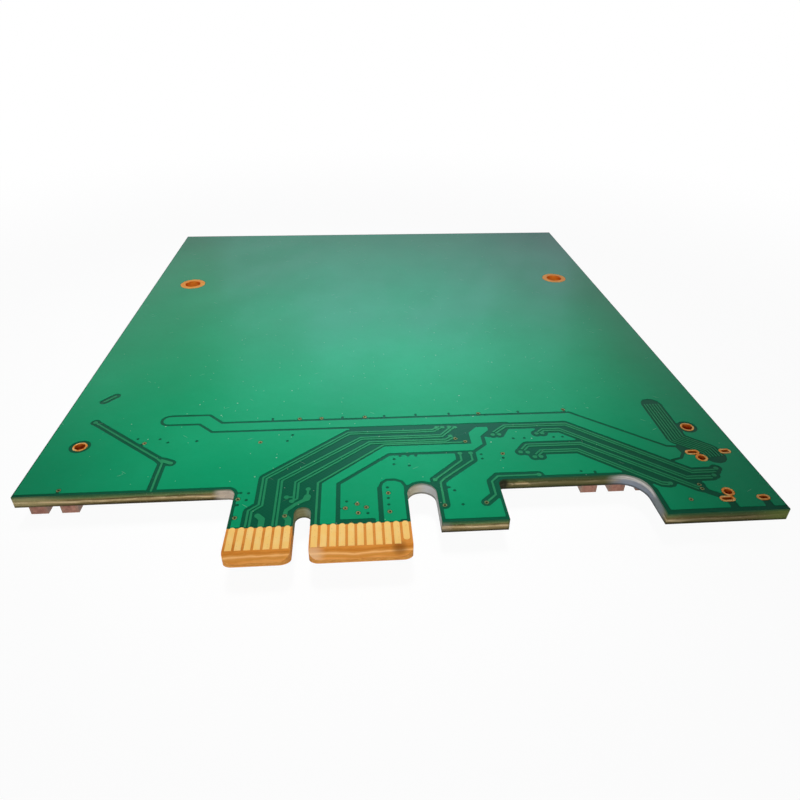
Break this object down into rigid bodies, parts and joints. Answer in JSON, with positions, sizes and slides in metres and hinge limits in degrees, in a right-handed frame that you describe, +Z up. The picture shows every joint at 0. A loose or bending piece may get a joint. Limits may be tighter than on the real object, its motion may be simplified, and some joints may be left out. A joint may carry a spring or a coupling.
{
  "type": "graphics adapter board",
  "caption": "Small green x1 slot card, solder side up, with gold edge contacts, copper traces and mounting holes, its chips on the underside.",
  "frame": {"origin": "middle of the board's outline in plan, on the surface that its tallest components stand on", "axes": "+X towards the bracket side, +Y from the edge contacts towards the rear edge, +Z up out of the solder side"},
  "size_m": [0.09, 0.107, 0.0047],
  "materials": {
    "board_mask": "glossy green solder mask over glass-epoxy laminate",
    "masked_copper": "light green solder mask over copper",
    "masked_trace": "light green solder mask over copper traces",
    "gold_contact": "bright gold plating",
    "plated_copper": "bare orange copper plating",
    "tinned_pad": "dull tin",
    "tinned_lead": "dull tin",
    "brown_ceramic": "matte pinkish brown ceramic",
    "tan_ceramic": "matte tan ceramic",
    "black_moulding": "matte black epoxy moulding",
    "grey_moulding": "matte grey pressed ferrite",
    "amber_moulding": "satin amber moulding",
    "crystal_ceramic": "matte dark ceramic",
    "crystal_metal": "satin metal lid"
  },
  "bodies": {
    "root": {"laminate": "board_mask", "solder_side_fields": "masked_copper", "solder_side_traces": "masked_trace", "solder_side_contacts": "gold_contact", "component_side_contacts": "gold_contact", "component_side_field": "masked_copper", "component_side_pads": "tinned_pad", "connector_signal_pads": "gold_contact", "rear_hole_barrels": "plated_copper", "front_hole_barrels": "plated_copper", "shell_slot_barrels": "plated_copper", "peg_hole_barrels": "plated_copper", "via_barrels": "plated_copper", "edge_capacitors": "brown_ceramic", "edge_capacitor_ends": "brown_ceramic", "controller_body": "black_moulding", "controller_leads": "tinned_lead", "memory_body": "black_moulding", "memory_leads": "tinned_lead", "flash_body": "black_moulding", "flash_leads": "tinned_lead", "crystal_base": "crystal_ceramic", "crystal_lid": "crystal_metal", "power_inductors": "grey_moulding", "inductor_terminals": "tinned_lead", "converter_bodies": "black_moulding", "converter_leads": "tinned_lead", "bulk_capacitors": "amber_moulding", "bulk_capacitor_terminals": "tinned_lead", "ceramic_capacitors": "tan_ceramic", "ceramic_capacitor_ends": "tinned_lead", "resistors": "black_moulding", "resistor_ends": "tinned_lead", "regulator_body": "black_moulding", "regulator_leads": "tinned_lead", "protection_bodies": "black_moulding", "protection_leads": "tinned_lead"}
  },
  "joints": []
}
